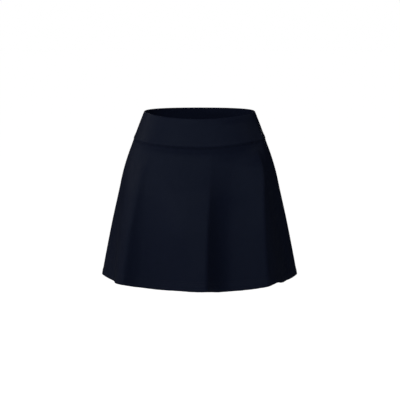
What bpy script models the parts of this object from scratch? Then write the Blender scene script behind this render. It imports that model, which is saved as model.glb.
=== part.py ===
"""A flared golf skirt in the hollow form it has when worn, held at the waist and open at waist and hem.

Four cut pieces are sewn edge to edge: a shaped front and back waistband, and a flared front and back
panel, with the seams at the sides and under the band. Each piece is a thin wall of cloth.

Every column of the cloth hangs from the waist edge by its own cut length: a column is followed down in
short steps, and what it swings outwards in a step it does not drop. A fold's ridge therefore lifts the
hem, and a valley lets it down, as on the real cloth.

Metres, +Z up, the front faces -Y. The origin is the middle of the waist opening, level with the
waist edge at the sides. An angle round the skirt is 0 at the centre front, 90 at the +X side seam and
180 at the centre back.
"""

import math
from collections import namedtuple

import bmesh
import bpy

# Cut lengths of the cloth, from edge to edge, at the centre front, the sides and the centre back
BAND_FRONT_LENGTH = 0.0665
BAND_SIDE_LENGTH = 0.0690
BAND_BACK_LENGTH = 0.0680
PANEL_FRONT_LENGTH = 0.3250
PANEL_SIDE_LENGTH = 0.3305
PANEL_BACK_LENGTH = 0.3300
FRONT_WAIST_DIP = 0.0105  # the waist edge lies this much lower at the centre front than at the sides

# Cloth, its thickness measured level
BAND_WALL = 0.0024  # two layers of knit
PANEL_WALL = 0.0015
SEAM_GAP = 0.0003

# Fineness of the surfaces
BAND_ROWS = 4
PANEL_ROWS = 16
FRONT_COLUMNS = 104
BACK_COLUMNS = 62
HEM_SAMPLES = 6  # points along the hem for each column, from which the columns' places are measured
CREASE_ANGLE = 40.0  # degrees; the rims meet the faces of the cloth in a sharp edge

# Outline of the skirt without its folds, at shares of each piece's cut length. It is an ellipse that
# stands out by "front_corner" and "back_corner" between its middles and its sides.
Section = namedtuple("Section", "name share half_width front_depth back_depth front_corner back_corner")
BAND_SECTIONS = (
    Section("waist edge", 0.00, 0.1278, 0.0950, 0.0960, 0.000, 0.006),
    Section("band middle", 0.55, 0.1418, 0.1065, 0.1065, 0.006, 0.005),
    Section("band seam", 1.00, 0.1526, 0.1140, 0.1150, 0.010, 0.004),
)
PANEL_SECTIONS = (
    Section("band seam", 0.00, 0.1526, 0.1140, 0.1150, 0.010, 0.004),
    Section("under the band", 0.06, 0.1603, 0.1160, 0.1212, 0.009, 0.004),
    Section("high hip", 0.14, 0.1690, 0.1230, 0.1280, 0.008, 0.004),
    Section("hip", 0.24, 0.1779, 0.1330, 0.1350, 0.009, 0.004),
    Section("seat", 0.36, 0.1864, 0.1445, 0.1415, 0.010, 0.004),
    Section("thigh", 0.62, 0.2054, 0.1580, 0.1500, 0.013, 0.003),
    Section("hem", 1.00, 0.2302, 0.1700, 0.1600, 0.014, 0.002),
)

# Ridges (out above 0) and valleys, in order round the skirt, in degrees and metres. A fold leaves the
# band at top_angle and bends on its way to hem_angle. It begins at the share "start" of the panel and
# stands out by "out" once it is full; past 1 it is still growing at the hem. "before" and "after" say
# how steep the cloth is on the two sides of the row, as a share of the mean slope to the neighbouring
# row: 0 is rounded, 1 is straight and more is creased.
Fold = namedtuple("Fold", "name top_angle hem_angle out start full before after")
FOLDS = (
    Fold("back left ridge", -134.0, -139.0, 0.0120, 0.00, 0.90, 0.3, 0.3),
    Fold("back left trough", -114.0, -116.0, -0.0110, 0.00, 1.00, 0.0, 0.0),
    Fold("left side", -90.0, -90.0, 0.0000, 0.00, 1.00, 0.0, 1.5),
    Fold("left hidden trough", -85.0, -65.5, -0.0265, 0.25, 1.35, 0.0, 0.0),
    Fold("left ridge", -42.5, -44.0, 0.0100, 0.05, 0.40, 0.0, 2.1),
    Fold("left valley", -37.5, -35.0, -0.0285, 0.12, 1.50, 0.0, 0.0),
    Fold("front slope", -32.5, -6.0, 0.0180, 0.22, 0.66, 1.0, 1.5),
    Fold("centre ridge", 11.0, 3.8, 0.0315, 0.10, 1.00, 0.0, 2.2),
    Fold("centre valley", 21.0, 19.5, -0.0170, 0.06, 0.53, 0.0, 0.0),
    Fold("right ridge", 53.0, 37.5, 0.0155, 0.00, 0.20, 1.8, 1.4),
    Fold("right hidden trough", 68.0, 66.5, -0.0180, 0.00, 0.80, 0.0, 0.0),
    Fold("right side", 90.0, 90.0, 0.0000, 0.00, 1.00, 1.5, 0.0),
    Fold("back right trough", 112.0, 114.0, -0.0120, 0.00, 1.00, 0.0, 0.0),
    Fold("back right ridge", 131.0, 137.0, 0.0150, 0.00, 0.80, 0.4, 1.2),
    Fold("back right valley", 152.0, 158.0, -0.0130, 0.05, 1.00, 0.0, 0.0),
    Fold("centre back ridge", 178.0, 181.0, 0.0120, 0.12, 1.00, 0.4, 0.4),
    Fold("back left valley", 202.0, 203.0, -0.0140, 0.05, 1.00, 0.0, 0.0),
)
BEND_ANGLE = 0.9  # degrees to each side over which a fold is rounded

NAVY = (0.0085, 0.0115, 0.0210, 1.0)
CLOTH_ROUGHNESS = 0.75


def smooth(at):
    at = min(max(at, 0.0), 1.0)
    return at * at * (3 - 2 * at)


def section_at(sections, share):
    """The sizes of the outline at a share of the cut length, on a smooth curve."""
    last = len(sections) - 1
    index = max(i for i in range(last) if sections[i].share <= share or i == 0)
    low, high = sections[index], sections[index + 1]
    before, after = sections[max(index - 1, 0)], sections[min(index + 2, last)]
    step = high.share - low.share
    at = min(max((share - low.share) / step, 0.0), 1.0)
    sizes = []
    for column in Section._fields[2:]:
        a, b = getattr(low, column), getattr(high, column)
        slope_in = (b - getattr(before, column)) / (high.share - before.share)
        slope_out = (getattr(after, column) - a) / (after.share - low.share)
        cubic = (
            (2 * at**3 - 3 * at**2 + 1) * a
            + (at**3 - 2 * at**2 + at) * step * slope_in
            + (3 * at**2 - 2 * at**3) * b
            + (at**3 - at**2) * step * slope_out
        )
        sizes.append(cubic)
    return sizes


def fold_rows(share):
    """Each fold's angle, how far out it stands and its two slopes, at a share of the panel's length."""
    rows = []
    for fold in FOLDS:
        angle = fold.hem_angle + (fold.top_angle - fold.hem_angle) * (1.0 - share) ** 2
        out = fold.out * smooth((share - fold.start) / (fold.full - fold.start))
        rows.append((angle, out, fold.before, fold.after))
    first = rows[0]
    rows.append((first[0] + 360.0, *first[1:]))
    return rows


def fold_out(angle, rows):
    """How far the folds move the cloth outwards at an angle in degrees."""
    turned = rows[0][0] + (angle - rows[0][0]) % 360.0
    for (a, out_a, _, slope_a), (b, out_b, slope_b, _) in zip(rows, rows[1:]):
        if turned <= b:
            at = (turned - a) / (b - a)
            rise = at * (1 - at) ** 2 * slope_a + at * at * (3 - 2 * at) - at * at * (1 - at) * slope_b
            return out_a + (out_b - out_a) * rise
    return rows[0][1]


def bent_out(angle, share):
    """The folds' shape, rounded over the angle that the cloth needs to bend."""
    rows = fold_rows(share)
    offsets = (-1.0, -0.5, 0.0, 0.5, 1.0)
    return sum(fold_out(angle + BEND_ANGLE * offset, rows) for offset in offsets) / len(offsets)


def plan_point(sections, angle, share, out=0.0):
    """The point of the outline seen from above, moved outwards along the outline's normal."""
    half_width, front_depth, back_depth, front_corner, back_corner = section_at(sections, share)
    turn = math.radians(angle)
    in_front = math.cos(turn) > 0
    depth = front_depth if in_front else back_depth
    out += (front_corner if in_front else back_corner) * math.sin(2 * turn) ** 2
    x, y = half_width * math.sin(turn), -depth * math.cos(turn)
    normal_x, normal_y = depth * math.sin(turn), -half_width * math.cos(turn)
    length = math.hypot(normal_x, normal_y)
    return x + out * normal_x / length, y + out * normal_y / length


def by_side(angle, front, side, back):
    """A size that goes smoothly from its front value through its side value to its back value."""
    facing = math.cos(math.radians(angle))
    return side + (front - side if facing > 0 else back - side) * facing * facing


def hang(plan, length, top):
    """Drops evenly spaced plan points from the height top: what a step swings out it doesn't drop."""
    height = top
    step = length / (len(plan) - 1)
    column = [(*plan[0], height)]
    for last, point in zip(plan, plan[1:]):
        height -= math.sqrt(step**2 - math.dist(last, point) ** 2)
        column.append((*point, height))
    return column


def band_column(angle, rows):
    plan = [plan_point(BAND_SECTIONS, angle, row / rows) for row in range(rows + 1)]
    length = by_side(angle, BAND_FRONT_LENGTH, BAND_SIDE_LENGTH, BAND_BACK_LENGTH)
    return hang(plan, length, by_side(angle, -FRONT_WAIST_DIP, 0.0, 0.0))


def panel_column(angle, rows):
    shares = [row / rows for row in range(rows + 1)]
    plan = [plan_point(PANEL_SECTIONS, angle, share, bent_out(angle, share)) for share in shares]
    length = by_side(angle, PANEL_FRONT_LENGTH, PANEL_SIDE_LENGTH, PANEL_BACK_LENGTH)
    seam_height = band_column(angle, BAND_ROWS)[-1][2]
    return hang(plan, length, seam_height - SEAM_GAP)


def column_angles(start, end, columns):
    """Angles across a piece that spread its columns evenly along the hem."""
    steps = columns * HEM_SAMPLES
    angles = [start + (end - start) * i / steps for i in range(steps + 1)]
    hem = [plan_point(PANEL_SECTIONS, angle, 1.0, bent_out(angle, 1.0)) for angle in angles]
    along = [0.0]
    for last, point in zip(hem, hem[1:]):
        along.append(along[-1] + math.dist(last, point))
    spread = []
    upper = 1
    for column in range(columns + 1):
        wanted = along[-1] * column / columns
        while along[upper] < wanted and upper < steps:
            upper += 1
        at = (wanted - along[upper - 1]) / (along[upper] - along[upper - 1])
        spread.append(angles[upper - 1] + (angles[upper] - angles[upper - 1]) * at)
    return spread


def cloth_material(name):
    material = bpy.data.materials.new(name)
    material.use_nodes = True
    shader = material.node_tree.nodes["Principled BSDF"]
    shader.inputs["Base Color"].default_value = NAVY
    shader.inputs["Roughness"].default_value = CLOTH_ROUGHNESS
    shader.inputs["Metallic"].default_value = 0.0
    material.diffuse_color = NAVY
    return material


def inner_point(point, before, after, wall):
    """A point of the cloth's inner face, level with its outer point and one wall inwards from it."""
    along_x, along_y = after[0] - before[0], after[1] - before[1]
    length = math.hypot(along_x, along_y)
    return (point[0] - wall * along_y / length, point[1] + wall * along_x / length, point[2])


def inner_face(columns, wall):
    """The cloth's inner points. At a side seam they lie straight across from the outer ones."""
    inner = []
    for left, column, right in zip(columns[:1] + columns, columns, columns[1:] + columns[-1:]):
        at_seam = left is column or right is column
        inner.append([])
        for before, point, after in zip(left, column, right):
            if at_seam:
                inner[-1].append((point[0] - math.copysign(wall, point[0]), point[1], point[2]))
            else:
                inner[-1].append(inner_point(point, before, after, wall))
    return inner


def cloth_piece(name, columns, wall, towards_y):
    """A closed wall of cloth whose outer face has these points, half a seam gap from the side seams."""
    shell = bmesh.new()
    loops = []
    for outer, inner in zip(columns, inner_face(columns, wall)):
        round_the_wall = outer + inner[::-1]
        loops.append([shell.verts.new((x, y + towards_y * SEAM_GAP / 2, z)) for x, y, z in round_the_wall])
    count = len(loops[0])
    for left, right in zip(loops, loops[1:]):
        for k in range(count):
            after = (k + 1) % count
            shell.faces.new((left[k], left[after], right[after], right[k]))
    for end in (loops[0], loops[-1]):
        for k in range(count // 2 - 1):
            shell.faces.new((end[k], end[k + 1], end[count - 2 - k], end[count - 1 - k]))
    bmesh.ops.recalc_face_normals(shell, faces=shell.faces)
    mesh = bpy.data.meshes.new(name)
    shell.to_mesh(mesh)
    shell.free()
    mesh.shade_smooth()
    mesh.set_sharp_from_angle(angle=math.radians(CREASE_ANGLE))
    mesh.materials.append(cloth_material(f"{name}_knit"))
    piece = bpy.data.objects.new(name, mesh)
    bpy.context.scene.collection.objects.link(piece)
    return piece


def clear_scene():
    for thing in list(bpy.data.objects):
        bpy.data.objects.remove(thing)


def make_skirt():
    for side, start, columns, towards_y in (
        ("front", -90.0, FRONT_COLUMNS, -1),
        ("back", 90.0, BACK_COLUMNS, 1),
    ):
        angles = column_angles(start, start + 180.0, columns)
        band = [band_column(angle, BAND_ROWS) for angle in angles]
        cloth_piece(f"waistband_{side}", band, BAND_WALL, towards_y)
        panel = [panel_column(angle, PANEL_ROWS) for angle in angles]
        cloth_piece(f"skirt_{side}", panel, PANEL_WALL, towards_y)


clear_scene()
make_skirt()
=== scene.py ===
"""The looks of a flared golf skirt in dark navy knit, filled out as when worn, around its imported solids.

Each of the four cut pieces is a thin sheet that follows its solid: it hangs from the waist edge by its own
cut length, column by column, so a fold's ridge lifts the hem and a valley lets it down. Metres, +Z up,
the front faces -Y. An angle round the skirt is 0 at the centre front and 90 at the +X side seam.
"""

import math
from collections import namedtuple

import bmesh
import bpy
from mathutils import Matrix, Vector


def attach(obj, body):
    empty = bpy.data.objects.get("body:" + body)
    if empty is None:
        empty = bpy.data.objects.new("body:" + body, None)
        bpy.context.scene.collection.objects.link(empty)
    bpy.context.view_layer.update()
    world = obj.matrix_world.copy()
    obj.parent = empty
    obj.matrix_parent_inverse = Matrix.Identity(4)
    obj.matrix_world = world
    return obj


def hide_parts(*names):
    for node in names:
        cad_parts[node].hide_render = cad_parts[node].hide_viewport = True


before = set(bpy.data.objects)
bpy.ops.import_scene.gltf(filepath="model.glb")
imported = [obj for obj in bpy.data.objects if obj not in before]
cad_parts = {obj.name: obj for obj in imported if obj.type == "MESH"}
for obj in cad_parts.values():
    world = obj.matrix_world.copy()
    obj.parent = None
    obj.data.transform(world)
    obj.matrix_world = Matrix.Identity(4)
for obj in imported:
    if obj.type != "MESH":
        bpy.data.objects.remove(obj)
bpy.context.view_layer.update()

# Cut lengths from edge to edge, at the centre front, the sides and the centre back
BAND_FRONT_LENGTH = 0.0665
BAND_SIDE_LENGTH = 0.0690
BAND_BACK_LENGTH = 0.0680
PANEL_FRONT_LENGTH = 0.3250
PANEL_SIDE_LENGTH = 0.3305
PANEL_BACK_LENGTH = 0.3300
FRONT_WAIST_DIP = 0.0105
SEAM_GAP = 0.0001
SIDE_SEAM_GAP = 0.00003

# Widths of the flat cut pieces at the waist edge, at the seam under the band and at the hem
Cut = namedtuple("Cut", "name waist seam hem")
FRONT_CUT = Cut("front", 0.352, 0.439, 0.701)
BACK_CUT = Cut("back", 0.364, 0.429, 0.643)

# The cloth: the band is two layers, and the hem is turned up inside
BAND_WALL = 0.0024
PANEL_WALL = 0.0010
HEM_WALL = 0.0017
HEM_DEPTH = 0.022
HEM_EDGE_SOFTNESS = 0.0015

# Fineness of the sheets
COLUMN_STEP = 0.0026
ROW_STEP = 0.0030
HEM_SAMPLES = 1400  # points along half the hem, from which the columns' places are measured
SIDE_RIM = 0.0016  # width of the rounded rim at a side seam, measured along the hem
BAND_RIM = 0.0016
PANEL_RIM = 0.0007
EDGE_WEAR_WIDTH = 0.0025
RIM_PLACES = (0.0, 0.08, 0.29, 0.62, 1.0, 1.7, 2.7, 4.0)  # places near an edge, in rims

# Outline of the skirt without its folds, at shares of each piece's cut length: an ellipse that stands
# out by its "corner" sizes between its middles and its sides
Section = namedtuple("Section", "name share half_width front_depth back_depth front_corner back_corner")
BAND_SECTIONS = (
    Section("waist edge", 0.00, 0.1278, 0.0950, 0.0960, 0.000, 0.006),
    Section("band middle", 0.55, 0.1418, 0.1065, 0.1065, 0.006, 0.005),
    Section("band seam", 1.00, 0.1526, 0.1140, 0.1150, 0.010, 0.004),
)
PANEL_SECTIONS = (
    Section("band seam", 0.00, 0.1526, 0.1140, 0.1150, 0.010, 0.004),
    Section("under the band", 0.06, 0.1603, 0.1160, 0.1212, 0.009, 0.004),
    Section("high hip", 0.14, 0.1690, 0.1230, 0.1280, 0.008, 0.004),
    Section("hip", 0.24, 0.1779, 0.1330, 0.1350, 0.009, 0.004),
    Section("seat", 0.36, 0.1864, 0.1445, 0.1415, 0.010, 0.004),
    Section("thigh", 0.62, 0.2054, 0.1580, 0.1500, 0.013, 0.003),
    Section("hem", 1.00, 0.2302, 0.1700, 0.1600, 0.014, 0.002),
)

# Ridges (out above 0) and valleys, in order round the skirt, in degrees and metres. A fold leaves the
# band at top_angle and bends on its way to hem_angle. It begins at the share "start" of the panel and
# stands out by "out" once it is full; past 1 it is still growing at the hem. "before" and "after" say
# how steep the cloth is on the two sides of the row, as a share of the mean slope to the neighbouring
# row: 0 is rounded, 1 is straight and more is creased.
Fold = namedtuple("Fold", "name top_angle hem_angle out start full before after")
FOLDS = (
    Fold("back left ridge", -134.0, -139.0, 0.0120, 0.00, 0.90, 0.3, 0.3),
    Fold("back left trough", -114.0, -116.0, -0.0110, 0.00, 1.00, 0.0, 0.0),
    Fold("left side", -90.0, -90.0, 0.0000, 0.00, 1.00, 0.0, 1.5),
    Fold("left hidden trough", -85.0, -65.5, -0.0265, 0.25, 1.35, 0.0, 0.0),
    Fold("left ridge", -42.5, -44.0, 0.0100, 0.05, 0.40, 0.0, 2.1),
    Fold("left valley", -37.5, -35.0, -0.0285, 0.12, 1.50, 0.0, 0.0),
    Fold("front slope", -32.5, -6.0, 0.0180, 0.22, 0.66, 1.0, 1.5),
    Fold("centre ridge", 11.0, 3.8, 0.0315, 0.10, 1.00, 0.0, 2.2),
    Fold("centre valley", 26.0, 19.5, -0.0170, 0.00, 0.53, 0.0, 0.15),
    Fold("right ridge", 53.0, 37.5, 0.0155, 0.00, 0.20, 1.4, 1.4),
    Fold("right hidden trough", 68.0, 66.5, -0.0180, 0.00, 0.80, 0.0, 0.0),
    Fold("right side", 90.0, 90.0, 0.0000, 0.00, 1.00, 1.5, 0.0),
    Fold("back right trough", 112.0, 114.0, -0.0120, 0.00, 1.00, 0.0, 0.0),
    Fold("back right ridge", 131.0, 137.0, 0.0150, 0.00, 0.80, 0.4, 1.2),
    Fold("back right valley", 152.0, 158.0, -0.0130, 0.05, 1.00, 0.0, 0.0),
    Fold("centre back ridge", 178.0, 181.0, 0.0120, 0.12, 1.00, 0.4, 0.4),
    Fold("back left valley", 202.0, 203.0, -0.0140, 0.05, 1.00, 0.0, 0.0),
)
BEND_ANGLE = 0.9  # degrees to each side over which a fold is rounded
BEND_STEPS = (-1.0, -0.5, 0.0, 0.5, 1.0)

# How far the cloth stands off its outline, by its distance from the seam under the band or from the hem
Relief = namedtuple("Relief", "name distance out")
ABOVE_SEAM = (
    Relief("seam", 0.000, -0.0003),
    Relief("rolled edge over the seam allowance", 0.004, 0.0007),
    Relief("flat band", 0.018, 0.0000),
)
BELOW_SEAM = (
    Relief("seam", 0.000, -0.0014),
    Relief("tucked under the rolled edge", 0.004, -0.0030),
    Relief("hollow under the band", 0.018, -0.0044),
    Relief("high hip", 0.110, 0.0000),
)
SIDE_HOLLOW = 0.25  # share of the hollow under the band that is left at the side seams
FULL_HOLLOW = 0.5  # the hollow is full where the squared cosine of the angle is above this
ABOVE_HEM = (
    Relief("hem edge", 0.000, 0.0000),
    Relief("turned-up hem", 0.009, 0.0004),
    Relief("hem stitching", 0.020, -0.0002),
    Relief("single cloth", 0.030, 0.0000),
)

# Small soft creases and swells beside the folds: where each begins and ends, as an angle and a distance
# below the piece's top edge, how far it stands out, and the width over which it fades. The right hip
# corner runs over the seam, so its two rows cross the seam at one angle and fade alike there.
Crease = namedtuple("Crease", "name begin_angle begin_down end_angle end_down out width")
PANEL_CREASES = (
    Crease("left hip drag", -64.0, 0.016, -44.0, 0.099, -0.0010, 0.0110),
    Crease("left hem wave", -30.0, 0.182, -27.5, 0.364, 0.0012, 0.0120),
    Crease("left hem hollow", -12.0, 0.205, -11.0, 0.380, -0.0010, 0.0110),
    Crease("right hip hollow", 2.0, 0.036, 52.0, 0.038, -0.0013, 0.0140),
    Crease("right hip corner", 71.0, -0.050, 57.0, 0.050, 0.0040, 0.0163),
    Crease("right hip drag", 62.0, 0.010, 47.0, 0.086, -0.0009, 0.0100),
    Crease("right hem wave", 24.0, 0.170, 23.5, 0.420, 0.0016, 0.0130),
    Crease("right hem flare", 32.0, 0.200, 32.0, 0.560, 0.0060, 0.0280),
    Crease("right side wave", 80.0, 0.149, 79.0, 0.364, 0.0013, 0.0120),
    Crease("left side wave", -80.0, 0.165, -79.0, 0.370, 0.0012, 0.0130),
    Crease("back right hip drag", 118.0, 0.013, 138.0, 0.093, -0.0012, 0.0120),
    Crease("back right hem wave", 147.0, 0.192, 148.5, 0.370, 0.0013, 0.0110),
    Crease("back hem hollow", 169.0, 0.165, 170.0, 0.357, -0.0012, 0.0120),
    Crease("back left hem wave", 192.0, 0.218, 192.5, 0.380, 0.0011, 0.0100),
    Crease("back left hip drag", 243.0, 0.016, 222.0, 0.109, -0.0012, 0.0120),
)
BAND_CREASES = (
    Crease("left waist swell", -88.0, 0.000, -8.0, 0.000, 0.0045, 0.0180),
    Crease("right waist swell", 4.0, 0.019, 74.0, 0.021, 0.0020, 0.0120),
    Crease("right hip corner", 70.5, -0.006, 57.5, 0.144, 0.0040, 0.0125),
    Crease("left waist tuck", -80.0, 0.030, -52.0, 0.050, -0.0006, 0.0060),
    Crease("right waist tuck", 82.0, 0.036, 58.0, 0.052, -0.0006, 0.0060),
    Crease("back waist hollow", 130.0, 0.016, 196.0, 0.012, -0.0012, 0.0100),
    Crease("back right tuck", 104.0, 0.020, 136.0, 0.041, -0.0009, 0.0070),
    Crease("back left tuck", 256.0, 0.028, 226.0, 0.047, -0.0008, 0.0060),
)
BAND_REACH = 0.125  # metres of cloth to a radian of angle, on which the creases are laid out
PANEL_REACH = 0.175

# Where the machine has drawn the cloth in along a seam
PUCKER_DEPTH = 0.00016
PUCKER_REACH = 0.007
PUCKER_WAVES = (0.0173, 0.0111, 0.0277)  # lengths of the waves that make them uneven
PUCKER_START = 40.0  # turns each wave by its own length, so that they don't start together
PUCKER_END = 4  # reaches, beyond which nothing is left of a pucker

# Hem stitching: two rows of short stitches
STITCH_ROWS = (0.0185, 0.0225)  # distances above the hem edge
STITCH_LENGTH = 0.0026
STITCH_PITCH = 0.0032
THREAD_RADIUS = 0.00019
THREAD_SINK = 0.4  # share of the thread's radius that lies in the cloth
THREAD_SIDES = 6
STITCH_CUTS = 3  # rings of points between a stitch's two ends
STITCH_END_DIP = 2.2  # radii by which a stitch's ends go down into the cloth

# Knit: rows of loops, measured on the flat cloth
PANEL_WALE = 0.00085
PANEL_COURSE = 0.00065
BAND_WALE = 0.00075
BAND_COURSE = 0.00060
LOOP_RELIEF = 0.00012
LOOP_STRENGTH = 0.5
# NAVY is the cloth's own colour. LIT_NAVY is a painted highlight: the paler colour put on the knit's raised
# loop tops as if lit, so the grooves between loops read as painted shade
NAVY = (0.0082, 0.0118, 0.0310, 1.0)
LIT_NAVY = (0.0097, 0.0138, 0.0355, 1.0)
WORN_NAVY = (0.0135, 0.0180, 0.0400, 1.0)
KNIT_ROUGHNESS = 0.48
UNEVEN_ROUGHNESS = 0.12  # what the dyed tone adds at most
KNIT_GLOSS = 0.15
BLUE_GLOSS = (0.70, 0.85, 1.00, 1.0)  # dyed fibres tint what they reflect

# Uneven dye: the size of its patches, and of each noise as a share of that
PATCH_SIZE = 0.045
Noise = namedtuple("Noise", "name share detail")
DYE_NOISES = (
    Noise("Tone", 1.0, 2.0),
    Noise("Grain", 0.012, 1.0),
)

# Hem thread
THREAD_NAVY = (0.0110, 0.0150, 0.0350, 1.0)
THREAD_TWIST = 4000.0  # scale of its noise
THREAD_ROUGHNESS = 0.55
THREAD_GLOSS = 0.3

# Studio
FLOOR_DROP = 1.05
FLOOR_RADIUS = 30.0
FLOOR_SIDES = 96
FLOOR_PALE = (0.8, 0.8, 0.8, 1.0)
FLOOR_ROUGHNESS = 0.9
WHITE = (1.0, 1.0, 1.0, 1.0)
CAMERA_PLACE = (0.001, -3.0, 0.256)
CAMERA_PITCH = 8.8
CAMERA_LENS = 117.0
SENSOR_WIDTH = 36.0
LIT_POINT = Vector((0.0, 0.0, -0.20))
WORLD_LIGHT = 0.002  # on the skirt; the camera sees the world white
SOFT_LIGHT_DISTANCE = 2.6
SOFT_LIGHT_SIZE = 1.5
SoftLight = namedtuple("SoftLight", "name azimuth elevation power")
SOFT_LIGHTS = (
    SoftLight("front_light", 0, 30, 6.7),
    SoftLight("front_left_light", -30, 30, 9.4),
    SoftLight("low_front_left_light", -40, 5, 3.4),
    SoftLight("left_light", -90, 18, 6.9),
    SoftLight("back_left_light", -120, 30, 3.4),
    SoftLight("front_right_light", 60, 30, 3.4),
    SoftLight("right_light", 90, 30, 2.8),
    SoftLight("back_light", 180, 3, 10.0),
)


def smooth(at):
    at = min(max(at, 0.0), 1.0)
    return at * at * (3 - 2 * at)


def section_at(sections, share):
    """The sizes of the outline at a share of the cut length, on a smooth curve."""
    last = len(sections) - 1
    index = max(i for i in range(last) if sections[i].share <= share or i == 0)
    low, high = sections[index], sections[index + 1]
    before, after = sections[max(index - 1, 0)], sections[min(index + 2, last)]
    step = high.share - low.share
    at = min(max((share - low.share) / step, 0.0), 1.0)
    sizes = []
    for column in Section._fields[2:]:
        a, b = getattr(low, column), getattr(high, column)
        slope_in = (b - getattr(before, column)) / (high.share - before.share)
        slope_out = (getattr(after, column) - a) / (after.share - low.share)
        cubic = (
            (2 * at**3 - 3 * at**2 + 1) * a
            + (at**3 - 2 * at**2 + at) * step * slope_in
            + (3 * at**2 - 2 * at**3) * b
            + (at**3 - at**2) * step * slope_out
        )
        sizes.append(cubic)
    return sizes


def fold_rows(share):
    """Each fold's angle, how far out it stands and its two slopes, at a share of the panel's length."""
    rows = []
    for fold in FOLDS:
        angle = fold.hem_angle + (fold.top_angle - fold.hem_angle) * (1.0 - share) ** 2
        out = fold.out * smooth((share - fold.start) / (fold.full - fold.start))
        rows.append((angle, out, fold.before, fold.after))
    first = rows[0]
    rows.append((first[0] + 360.0, *first[1:]))
    return rows


def fold_out(angle, rows):
    """How far the folds move the cloth outwards at an angle, on a curve from each row to the next."""
    turned = rows[0][0] + (angle - rows[0][0]) % 360.0
    for (a, out_a, _, slope_a), (b, out_b, slope_b, _) in zip(rows, rows[1:]):
        if turned <= b:
            at = (turned - a) / (b - a)
            rise = at * (1 - at) ** 2 * slope_a + at * at * (3 - 2 * at) - at * at * (1 - at) * slope_b
            return out_a + (out_b - out_a) * rise
    return rows[0][1]


def bent_out(angle, rows):
    """The folds' shape, rounded over the angle that the cloth needs to bend."""
    return sum(fold_out(angle + BEND_ANGLE * step, rows) for step in BEND_STEPS) / len(BEND_STEPS)


def relief_out(rows, distance):
    for low, high in zip(rows, rows[1:]):
        if distance < high.distance:
            at = (distance - low.distance) / (high.distance - low.distance)
            return low.out + (high.out - low.out) * smooth(at)
    return 0.0


def hollow_share(angle):
    """The hollow under the band is full over the front and the back, and fades at the sides."""
    facing = math.cos(math.radians(angle))
    return SIDE_HOLLOW + (1.0 - SIDE_HOLLOW) * smooth(facing * facing / FULL_HOLLOW)


def crease_out(creases, angle, down, reach):
    """The small creases' depth at a place: each is deepest at its middle and fades out at both ends."""
    out = 0.0
    for crease in creases:
        run = math.radians(crease.end_angle - crease.begin_angle) * reach
        fall = crease.end_down - crease.begin_down
        length = math.hypot(run, fall)
        across = math.radians((angle - crease.begin_angle + 180.0) % 360.0 - 180.0) * reach
        below = down - crease.begin_down
        at = (across * run + below * fall) / length**2
        if 0.0 < at < 1.0:
            away = (across * fall - below * run) / length / crease.width
            out += crease.out * math.sin(math.pi * at) ** 2 * math.exp(-away * away)
    return out


def pucker_out(along, distance):
    """Small uneven waves beside a seam, which die out away from it."""
    if distance > PUCKER_END * PUCKER_REACH:
        return 0.0
    waves = sum(math.sin(2 * math.pi * along / wave + PUCKER_START * wave) for wave in PUCKER_WAVES)
    return PUCKER_DEPTH * waves * math.exp(-distance / PUCKER_REACH)


def plan_point(sections, angle, share, out=0.0):
    """The point of the outline seen from above, moved outwards along the outline's normal."""
    half_width, front_depth, back_depth, front_corner, back_corner = section_at(sections, share)
    turn = math.radians(angle)
    in_front = math.cos(turn) > 0
    depth = front_depth if in_front else back_depth
    out += (front_corner if in_front else back_corner) * math.sin(2 * turn) ** 2
    x, y = half_width * math.sin(turn), -depth * math.cos(turn)
    normal_x, normal_y = depth * math.sin(turn), -half_width * math.cos(turn)
    length = math.hypot(normal_x, normal_y)
    return x + out * normal_x / length, y + out * normal_y / length


def by_side(angle, front, side, back):
    """A size that goes smoothly from its front value through its side value to its back value."""
    facing = math.cos(math.radians(angle))
    return side + (front - side if facing > 0 else back - side) * facing * facing


def hang(plan, shares, length, top):
    """Drops plan points from the height top: what a step swings out it doesn't drop."""
    height = top
    column = [Vector((*plan[0], height))]
    for k in range(1, len(plan)):
        step = (shares[k] - shares[k - 1]) * length
        height -= math.sqrt(step**2 - math.dist(plan[k - 1], plan[k]) ** 2)
        column.append(Vector((*plan[k], height)))
    return column


def places(length, step, rim):
    """Distances from edge to edge of a sheet: close together over the rounded rims, and even between."""
    near = [rim * place for place in RIM_PLACES]
    inner = length - 2 * near[-1]
    count = round(inner / step)
    even = [near[-1] + inner * k / count for k in range(1, count)]
    return near + even + [length - place for place in reversed(near)]


def column_angles(start):
    """Angles across half the skirt that give its columns their places along the hem."""
    rows = fold_rows(1.0)
    angles = [start + 180.0 * i / HEM_SAMPLES for i in range(HEM_SAMPLES + 1)]
    hem = [plan_point(PANEL_SECTIONS, angle, 1.0, bent_out(angle, rows)) for angle in angles]
    along = [0.0]
    for last, point in zip(hem, hem[1:]):
        along.append(along[-1] + math.dist(last, point))
    spread = []
    upper = 1
    wanted_places = places(along[-1], COLUMN_STEP, SIDE_RIM)
    for wanted in wanted_places:
        while along[upper] < wanted and upper < HEM_SAMPLES:
            upper += 1
        at = (wanted - along[upper - 1]) / (along[upper] - along[upper - 1])
        spread.append(angles[upper - 1] + (angles[upper] - angles[upper - 1]) * at)
    return wanted_places, spread


def band_columns(angles, alongs, shares):
    columns = []
    for angle, along in zip(angles, alongs):
        length = by_side(angle, BAND_FRONT_LENGTH, BAND_SIDE_LENGTH, BAND_BACK_LENGTH)
        plan = []
        for share in shares:
            to_seam = (1.0 - share) * length
            out = relief_out(ABOVE_SEAM, to_seam) + pucker_out(along, to_seam)
            out += crease_out(BAND_CREASES, angle, share * length, BAND_REACH)
            plan.append(plan_point(BAND_SECTIONS, angle, share, out))
        columns.append(hang(plan, shares, length, by_side(angle, -FRONT_WAIST_DIP, 0.0, 0.0)))
    return columns


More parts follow.
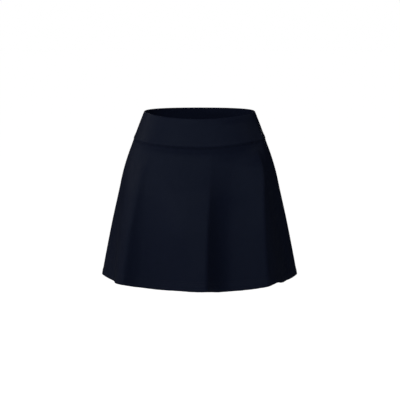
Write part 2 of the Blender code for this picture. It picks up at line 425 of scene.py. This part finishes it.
def panel_columns(angles, alongs, shares, tops):
    folds = [fold_rows(share) for share in shares]
    columns = []
    for angle, along, top in zip(angles, alongs, tops):
        length = by_side(angle, PANEL_FRONT_LENGTH, PANEL_SIDE_LENGTH, PANEL_BACK_LENGTH)
        plan = []
        for share, rows in zip(shares, folds):
            to_seam, to_hem = share * length, (1.0 - share) * length
            out = bent_out(angle, rows) + relief_out(ABOVE_HEM, to_hem)
            out += relief_out(BELOW_SEAM, to_seam) * hollow_share(angle)
            out += pucker_out(along, to_seam)
            out += crease_out(PANEL_CREASES, angle, to_seam, PANEL_REACH)
            plan.append(plan_point(PANEL_SECTIONS, angle, share, out))
        columns.append(hang(plan, shares, length, top))
    return columns


def level_normals(columns):
    """The outward direction of the cloth at each point, kept level."""
    normals = []
    for left, right in zip(columns[:1] + columns[:-1], columns[1:] + columns[-1:]):
        normals.append([])
        for before, after in zip(left, right):
            along = after - before
            normals[-1].append(Vector((along.y, -along.x, 0.0)).normalized())
    return normals


def rounding(distance, rim):
    """How far a face has drawn in near an edge: 1 at the edge itself, 0 from the rim inwards."""
    return 1.0 - math.sqrt(1.0 - (1.0 - distance / rim) ** 2) if distance < rim else 0.0


def flat_place(across, down, top_width, hem_width, length):
    """Where a point lies on the flat cut piece, a sector of a ring whose grain runs down its middle."""
    opening = (hem_width - top_width) / length
    turn = (across - 0.5) * opening
    reach = top_width / opening + down
    return reach * math.sin(turn), reach * math.cos(turn)


def finished_piece(name, shape, material):
    """A smooth object of a worked shape, whose place is in its mesh."""
    mesh = bpy.data.meshes.new(name)
    shape.to_mesh(mesh)
    shape.free()
    mesh.shade_smooth()
    mesh.materials.append(material)
    piece = bpy.data.objects.new(name, mesh)
    bpy.context.scene.collection.objects.link(piece)
    return piece


def cloth_sheet(name, columns, alongs, downs, wall_at, rim, worn_edge, cut, material):
    """A closed sheet of cloth with rounded rims. Its outer face has the columns' points.

    The free edge, which wears, lies the distance worn_edge below the top.
    """
    normals = level_normals(columns)
    width, length = alongs[-1], downs[-1]
    last_column, last_row = len(columns) - 1, len(downs) - 1
    sheet = bmesh.new()
    flat_map = sheet.loops.layers.uv.new("cloth")
    edge_layer = sheet.verts.layers.float.new("edge")
    outer, inner, flat = [], [], {}
    for i, (column, along) in enumerate(zip(columns, alongs)):
        outer.append([])
        inner.append([])
        side_round = max(rounding(along, SIDE_RIM), rounding(width - along, SIDE_RIM))
        for j, (point, down) in enumerate(zip(column, downs)):
            wall = wall_at(length - down)
            drawn = wall / 2 * max(side_round, rounding(down, rim), rounding(length - down, rim))
            normal = normals[i][j]
            front = sheet.verts.new(point - normal * drawn)
            on_edge = i in (0, last_column) or j in (0, last_row)
            back = front if on_edge else sheet.verts.new(point - normal * (wall - drawn))
            outer[-1].append(front)
            inner[-1].append(back)
            place = flat_place(along / width, down, *cut, length)
            for vertex in {front, back}:
                vertex[edge_layer] = math.exp(-abs(down - worn_edge) / EDGE_WEAR_WIDTH)
                flat[vertex] = place
    for i in range(last_column):
        for j in range(last_row):
            sheet.faces.new((outer[i][j], outer[i][j + 1], outer[i + 1][j + 1], outer[i + 1][j]))
            sheet.faces.new((inner[i][j], inner[i + 1][j], inner[i + 1][j + 1], inner[i][j + 1]))
    for face in sheet.faces:
        for loop in face.loops:
            loop[flat_map].uv = flat[loop.vert]
    return finished_piece(name, sheet, material)


def band_wall(to_seam):
    """The same two layers all the way down."""
    return BAND_WALL


def hem_wall(to_hem):
    """One layer of cloth, and two where the hem is turned up inside."""
    return HEM_WALL - (HEM_WALL - PANEL_WALL) * smooth((to_hem - HEM_DEPTH) / HEM_EDGE_SOFTNESS)


def stitch_shape():
    """One stitch along X: a short length of thread with its ends drawn down into the cloth."""
    bpy.ops.object.select_all(action="DESELECT")
    bpy.ops.mesh.primitive_cylinder_add(
        vertices=THREAD_SIDES, radius=THREAD_RADIUS, depth=STITCH_LENGTH, end_fill_type="NGON",
        rotation=(0, math.pi / 2, 0),
    )
    stitch = bpy.context.object
    bpy.ops.object.transform_apply(location=False, rotation=True, scale=False)
    bpy.ops.object.mode_set(mode="EDIT")
    bpy.ops.mesh.select_mode(type="EDGE")
    bpy.ops.mesh.select_all(action="DESELECT")
    bpy.ops.object.mode_set(mode="OBJECT")
    for edge in stitch.data.edges:
        first, last = [stitch.data.vertices[end].co.x for end in edge.vertices]
        edge.select = abs(last - first) > THREAD_RADIUS
    bpy.ops.object.mode_set(mode="EDIT")
    bpy.ops.mesh.subdivide(number_cuts=STITCH_CUTS)
    bpy.ops.object.mode_set(mode="OBJECT")
    for vertex in stitch.data.vertices:
        at_end = abs(vertex.co.x) * 2 / STITCH_LENGTH
        vertex.co.z -= STITCH_END_DIP * THREAD_RADIUS * at_end**4
    mesh = stitch.data.copy()
    bpy.data.objects.remove(stitch)
    return mesh


def line_above_hem(columns, downs, to_hem):
    """The points of a panel's columns at a distance above the hem edge, and the way up the cloth there."""
    wanted = downs[-1] - to_hem
    below = next(j for j, down in enumerate(downs) if down >= wanted)
    at = (wanted - downs[below - 1]) / (downs[below] - downs[below - 1])
    line = [column[below - 1].lerp(column[below], at) for column in columns]
    ups = [(column[below - 1] - column[below]).normalized() for column in columns]
    return line, ups


def stitching(name, columns, downs, material):
    """The rows of stitches along a panel's hem, as one mesh."""
    shape = stitch_shape()
    rows = bmesh.new()
    for to_hem in STITCH_ROWS:
        line, ups = line_above_hem(columns, downs, to_hem)
        walked, upper = [0.0], 1
        for a, b in zip(line, line[1:]):
            walked.append(walked[-1] + (b - a).length)
        count = int(walked[-1] / STITCH_PITCH)
        for stitch in range(count):
            wanted = (stitch + 0.5) * walked[-1] / count
            while walked[upper] < wanted:
                upper += 1
            share = (wanted - walked[upper - 1]) / (walked[upper] - walked[upper - 1])
            along = (line[upper] - line[upper - 1]).normalized()
            up = ups[upper]
            out = along.cross(up).normalized()
            centre = line[upper - 1].lerp(line[upper], share) + out * THREAD_RADIUS * (1 - 2 * THREAD_SINK)
            turned = Matrix((along, up, out)).transposed().to_4x4()
            first = len(rows.verts)
            rows.from_mesh(shape)
            rows.verts.ensure_lookup_table()
            for vertex in rows.verts[first:]:
                vertex.co = centre + turned @ vertex.co
    bpy.data.meshes.remove(shape)
    return finished_piece(name, rows, material)


# Materials

def new_material(name):
    material = bpy.data.materials.new(name)
    material.use_nodes = True
    return material, material.node_tree, material.node_tree.nodes["Principled BSDF"]


def new_group(name, inputs, outputs):
    group = bpy.data.node_groups.new(name, "ShaderNodeTree")
    for socket, kind, value in inputs:
        made = group.interface.new_socket(name=socket, in_out="INPUT", socket_type=kind)
        if value is not None:
            made.default_value = value
    for socket, kind in outputs:
        group.interface.new_socket(name=socket, in_out="OUTPUT", socket_type=kind)
    return group, group.nodes.new("NodeGroupInput"), group.nodes.new("NodeGroupOutput")


def math_node(tree, operation, *values):
    """A Math node, each of whose inputs is a number or another node's socket."""
    node = tree.nodes.new("ShaderNodeMath")
    node.operation = operation
    for socket, value in zip(node.inputs, values):
        if isinstance(value, bpy.types.NodeSocket):
            tree.links.new(value, socket)
        else:
            socket.default_value = value
    return node.outputs[0]


def knit_group():
    """Loops of a fine knit, as rows of small V shapes. Place is in metres on the flat cloth."""
    group, given, result = new_group(
        "fine_knit",
        (
            ("Place", "NodeSocketVector", None),
            ("Wale", "NodeSocketFloat", PANEL_WALE),
            ("Course", "NodeSocketFloat", PANEL_COURSE),
        ),
        (("Height", "NodeSocketFloat"),),
    )
    split = group.nodes.new("ShaderNodeSeparateXYZ")
    group.links.new(given.outputs["Place"], split.inputs[0])
    across = math_node(group, "DIVIDE", split.outputs["X"], given.outputs["Wale"])
    down = math_node(group, "DIVIDE", split.outputs["Y"], given.outputs["Course"])
    from_middle = math_node(group, "PINGPONG", across, 0.5)
    slanted = math_node(group, "ADD", down, from_middle)
    legs = math_node(group, "SINE", math_node(group, "MULTIPLY", from_middle, 2 * math.pi))
    loops = math_node(group, "SINE", math_node(group, "MULTIPLY", slanted, 2 * math.pi))
    rounded = math_node(group, "MULTIPLY_ADD", loops, 0.5, 0.5)
    height = math_node(group, "MULTIPLY", legs, math_node(group, "SQRT", rounded))
    group.links.new(height, result.inputs["Height"])
    return group


def tone_group():
    """Broad uneven patches of tone, as a knit has where it was dyed and pressed."""
    group, given, result = new_group(
        "dyed_tone",
        (("Place", "NodeSocketVector", None), ("Patch Size", "NodeSocketFloat", PATCH_SIZE)),
        [(dye.name, "NodeSocketFloat") for dye in DYE_NOISES],
    )
    for dye in DYE_NOISES:
        size = math_node(group, "MULTIPLY", given.outputs["Patch Size"], dye.share)
        noise = group.nodes.new("ShaderNodeTexNoise")
        noise.inputs["Detail"].default_value = dye.detail
        group.links.new(given.outputs["Place"], noise.inputs["Vector"])
        group.links.new(math_node(group, "DIVIDE", 1.0, size), noise.inputs["Scale"])
        group.links.new(noise.outputs["Fac"], result.inputs[dye.name])
    return group


def mixed_colour(tree, factor, first, second):
    """A colour between two, each of which is a colour or another node's socket."""
    mix = tree.nodes.new("ShaderNodeMix")
    mix.data_type = "RGBA"
    tree.links.new(factor, mix.inputs["Factor"])
    sockets = [socket for socket in mix.inputs if socket.type == "RGBA"]
    for socket, value in zip(sockets, (first, second)):
        if isinstance(value, bpy.types.NodeSocket):
            tree.links.new(value, socket)
        else:
            socket.default_value = value
    return next(socket for socket in mix.outputs if socket.type == "RGBA")


def knit_material(name, knit, tone, wale, course):
    """Navy knit: loops in relief, a painted highlight on the raised loop tops that the uneven dye tone
    varies, and a paler worn edge.
    """
    material, tree, shader = new_material(name)
    flat_map = tree.nodes.new("ShaderNodeUVMap")
    flat_map.uv_map = "cloth"
    loops = tree.nodes.new("ShaderNodeGroup")
    loops.node_tree = knit
    loops.inputs["Wale"].default_value = wale
    loops.inputs["Course"].default_value = course
    dyed = tree.nodes.new("ShaderNodeGroup")
    dyed.node_tree = tone
    dyed.inputs["Patch Size"].default_value = PATCH_SIZE
    for group in (loops, dyed):
        tree.links.new(flat_map.outputs["UV"], group.inputs["Place"])
    edge = tree.nodes.new("ShaderNodeAttribute")
    edge.attribute_name = "edge"
    bump = tree.nodes.new("ShaderNodeBump")
    bump.inputs["Strength"].default_value = LOOP_STRENGTH
    bump.inputs["Distance"].default_value = LOOP_RELIEF
    tree.links.new(loops.outputs["Height"], bump.inputs["Height"])
    tree.links.new(bump.outputs["Normal"], shader.inputs["Normal"])
    # Painted highlight: the raised loop tops are coloured paler, towards LIT_NAVY, as if lit, and more so
    # where the dyed tone is high
    painted_loop_highlight = math_node(tree, "MULTIPLY", loops.outputs["Height"], dyed.outputs["Tone"])
    cloth = mixed_colour(tree, painted_loop_highlight, NAVY, LIT_NAVY)
    worn = math_node(tree, "MULTIPLY", edge.outputs["Fac"], dyed.outputs["Grain"])
    tree.links.new(mixed_colour(tree, worn, cloth, WORN_NAVY), shader.inputs["Base Color"])
    roughness = math_node(tree, "MULTIPLY_ADD", dyed.outputs["Tone"], UNEVEN_ROUGHNESS, KNIT_ROUGHNESS)
    tree.links.new(roughness, shader.inputs["Roughness"])
    shader.inputs["Specular IOR Level"].default_value = KNIT_GLOSS
    shader.inputs["Specular Tint"].default_value = BLUE_GLOSS
    return material


def thread_material():
    """Sewing thread: two navies that change along its twist."""
    material, tree, shader = new_material("hem_thread")
    where = tree.nodes.new("ShaderNodeTexCoord")
    noise = tree.nodes.new("ShaderNodeTexNoise")
    noise.inputs["Scale"].default_value = THREAD_TWIST
    tree.links.new(where.outputs["Object"], noise.inputs["Vector"])
    tree.links.new(mixed_colour(tree, noise.outputs["Fac"], NAVY, THREAD_NAVY), shader.inputs["Base Color"])
    shader.inputs["Roughness"].default_value = THREAD_ROUGHNESS
    shader.inputs["Specular IOR Level"].default_value = THREAD_GLOSS
    return material


def floor_material():
    """Plain and pale. What the camera sees of it is as bright as a lit studio floor."""
    material, tree, shader = new_material("studio_floor")
    shader.inputs["Base Color"].default_value = FLOOR_PALE
    shader.inputs["Roughness"].default_value = FLOOR_ROUGHNESS
    shader.inputs["Emission Color"].default_value = WHITE
    seen = tree.nodes.new("ShaderNodeLightPath")
    tree.links.new(seen.outputs["Is Camera Ray"], shader.inputs["Emission Strength"])
    return material


# Pieces

def dress_skirt():
    knit, tone = knit_group(), tone_group()
    band_cloth = knit_material("band_cloth_knit", knit, tone, BAND_WALE, BAND_COURSE)
    panel_cloth = knit_material("panel_cloth_knit", knit, tone, PANEL_WALE, PANEL_COURSE)
    thread = thread_material()
    band_downs = places(BAND_SIDE_LENGTH, ROW_STEP, BAND_RIM)
    panel_downs = places(PANEL_SIDE_LENGTH, ROW_STEP, PANEL_RIM)
    band_shares = [down / BAND_SIDE_LENGTH for down in band_downs]
    panel_shares = [down / PANEL_SIDE_LENGTH for down in panel_downs]
    for cut, start, towards_y in ((FRONT_CUT, -90.0, -1), (BACK_CUT, 90.0, 1)):
        alongs, angles = column_angles(start)
        band = band_columns(angles, alongs, band_shares)
        panel = panel_columns(angles, alongs, panel_shares, [column[-1].z - SEAM_GAP for column in band])
        for point in [p for column in band + panel for p in column]:
            point.y += towards_y * SIDE_SEAM_GAP / 2
        band_piece = cloth_sheet(
            f"band_{cut.name}_cloth", band, alongs, band_downs, band_wall, BAND_RIM, 0.0,
            (cut.waist, cut.seam), band_cloth,
        )
        panel_piece = cloth_sheet(
            f"skirt_{cut.name}_cloth", panel, alongs, panel_downs, hem_wall, PANEL_RIM, PANEL_SIDE_LENGTH,
            (cut.seam, cut.hem), panel_cloth,
        )
        stitches = stitching(f"hem_stitching_{cut.name}", panel, panel_downs, thread)
        for piece in (band_piece, panel_piece, stitches):
            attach(piece, "root")
        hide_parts(f"waistband_{cut.name}")
        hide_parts(f"skirt_{cut.name}")


# Studio

def lay_floor():
    bpy.ops.object.select_all(action="DESELECT")
    bpy.ops.mesh.primitive_circle_add(
        vertices=FLOOR_SIDES, radius=FLOOR_RADIUS, fill_type="NGON", location=(0, 0, -FLOOR_DROP),
    )
    floor = bpy.context.object
    floor.name = "floor"
    floor.data.materials.append(floor_material())


def soft_light(light):
    """A round soft light, itself unseen, aimed at the skirt. Azimuth 0 is in front, 90 on the +X side."""
    around, above = math.radians(light.azimuth), math.radians(light.elevation)
    level = math.cos(above)
    away = Vector((math.sin(around) * level, -math.cos(around) * level, math.sin(above)))
    area = bpy.data.lights.new(light.name, "AREA")
    area.shape = "DISK"
    area.size = SOFT_LIGHT_SIZE
    area.energy = light.power
    lamp = bpy.data.objects.new(light.name, area)
    lamp.visible_camera = False
    bpy.context.scene.collection.objects.link(lamp)
    lamp.location = LIT_POINT + away * SOFT_LIGHT_DISTANCE
    lamp.rotation_euler = (-away).to_track_quat("-Z", "Y").to_euler()


def light_studio():
    world = bpy.data.worlds.new("studio")
    bpy.context.scene.world = world
    world.use_nodes = True
    tree = world.node_tree
    background = tree.nodes["Background"]
    background.inputs["Color"].default_value = WHITE
    seen = tree.nodes.new("ShaderNodeLightPath")
    strength = math_node(tree, "MAXIMUM", seen.outputs["Is Camera Ray"], WORLD_LIGHT)
    tree.links.new(strength, background.inputs["Strength"])
    for light in SOFT_LIGHTS:
        soft_light(light)


def place_camera():
    lens = bpy.data.cameras.new("camera")
    lens.lens = CAMERA_LENS
    lens.sensor_width = SENSOR_WIDTH
    camera = bpy.data.objects.new("camera", lens)
    bpy.context.scene.collection.objects.link(camera)
    camera.location = CAMERA_PLACE
    camera.rotation_euler = (math.radians(90 - CAMERA_PITCH), 0, 0)
    bpy.context.scene.camera = camera
    bpy.context.scene.view_settings.view_transform = "Standard"


dress_skirt()
lay_floor()
light_studio()
place_camera()
